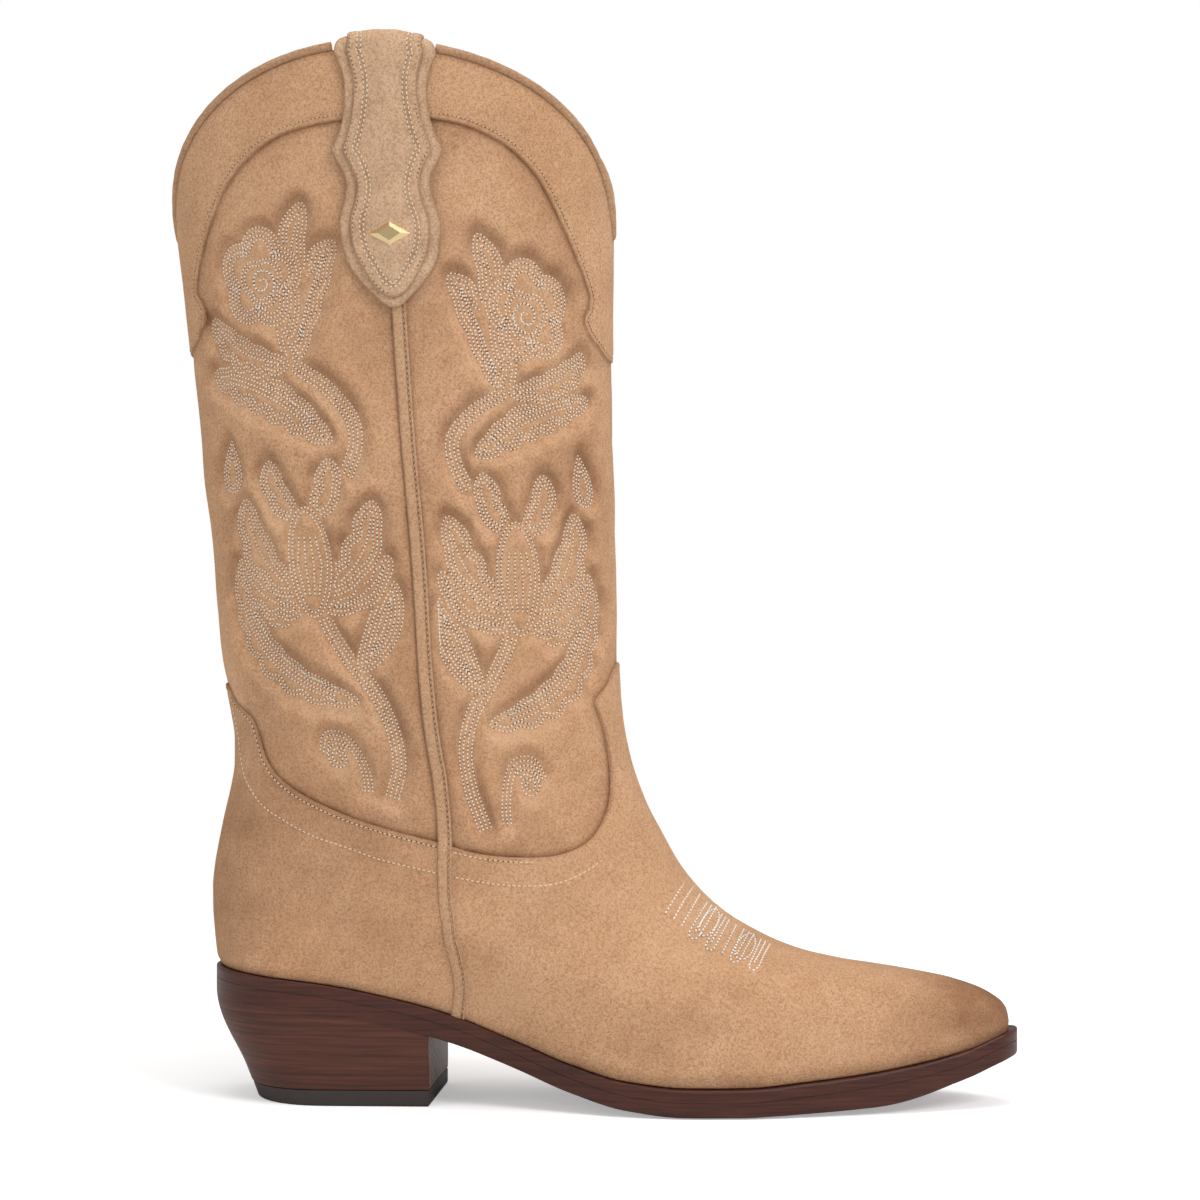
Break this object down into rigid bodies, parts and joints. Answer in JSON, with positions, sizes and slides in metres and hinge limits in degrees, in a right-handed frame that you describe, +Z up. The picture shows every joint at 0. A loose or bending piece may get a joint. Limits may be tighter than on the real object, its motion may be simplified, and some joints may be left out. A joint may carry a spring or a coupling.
{
  "type": "cowboy boot",
  "caption": "Knee-length suede western boot with a scalloped topline, embroidered shaft, pull straps, pointed toe and a stacked-look block heel.",
  "frame": {"origin": "on the ground, under the middle of the heel's top piece", "axes": "+X towards the toe, -Y the outer (lateral) side of this right boot, +Z up"},
  "size_m": [0.2982, 0.0967, 0.3701],
  "materials": {
    "suede": "matt suede nap",
    "suede_strap": "matt suede nap",
    "piping": "matt suede nap, folded edge",
    "lining": "smooth lining leather",
    "sole_edge": "stained and waxed edge",
    "heel": "stained, satin, layered grain",
    "rubber": "matt",
    "board": "pressed fibre board",
    "cork": "cork",
    "steel": "plain",
    "gold": "polished pale gold"
  },
  "bodies": {
    "foot": {"outsole": "sole_edge", "heel_rand": "sole_edge", "heel_block": "heel", "top_piece": "rubber", "insole_backpart": "board", "shank": "steel", "heel_screw": "steel", "heel_nail_1": "steel", "heel_nail_2": "steel", "heel_nail_3": "steel", "heel_nail_4": "steel", "heel_foxing": "suede", "counter_stiffener": "board", "counter_lining": "lining", "vamp": "suede", "vamp_lining": "lining", "sock_liner": "lining"},
    "forepart": {"toe_puff": "board", "ball_filler": "cork", "insole_forepart": "board", "welt": "sole_edge"},
    "shaft": {"shaft_front": "suede", "shaft_back": "suede", "shaft_lining_front": "lining", "shaft_lining_back": "lining", "collar_front": "suede", "collar_back": "suede", "topline_bead_front": "piping", "topline_bead_back": "piping", "side_piping_lateral": "piping", "side_piping_medial": "piping", "pull_strap_lateral": "suede_strap", "pull_strap_medial": "suede_strap", "strap_overlay_lateral": "suede_strap", "strap_overlay_medial": "suede_strap", "strap_stud": "gold", "stud_washer": "steel"}
  },
  "joints": [
    {"name": "forepart_flex", "type": "hinge", "parent": "foot", "child": "forepart", "pos_m": [0.122, 0, 0.0125], "axis": [0, -1, 0], "range_deg": [0, 25], "stiffness_Nm_per_rad": 0.6, "deforming": ["outsole", "vamp", "vamp_lining", "sock_liner", "welt"]},
    {"name": "shaft_flex", "type": "hinge", "parent": "foot", "child": "shaft", "pos_m": [0.03, 0, 0.11], "axis": [0, 1, 0], "range_deg": [-8, 12], "stiffness_Nm_per_rad": 3, "deforming": ["shaft_front", "shaft_back", "shaft_lining_front", "shaft_lining_back", "side_piping_lateral", "side_piping_medial", "heel_foxing", "counter_lining"]}
  ]
}
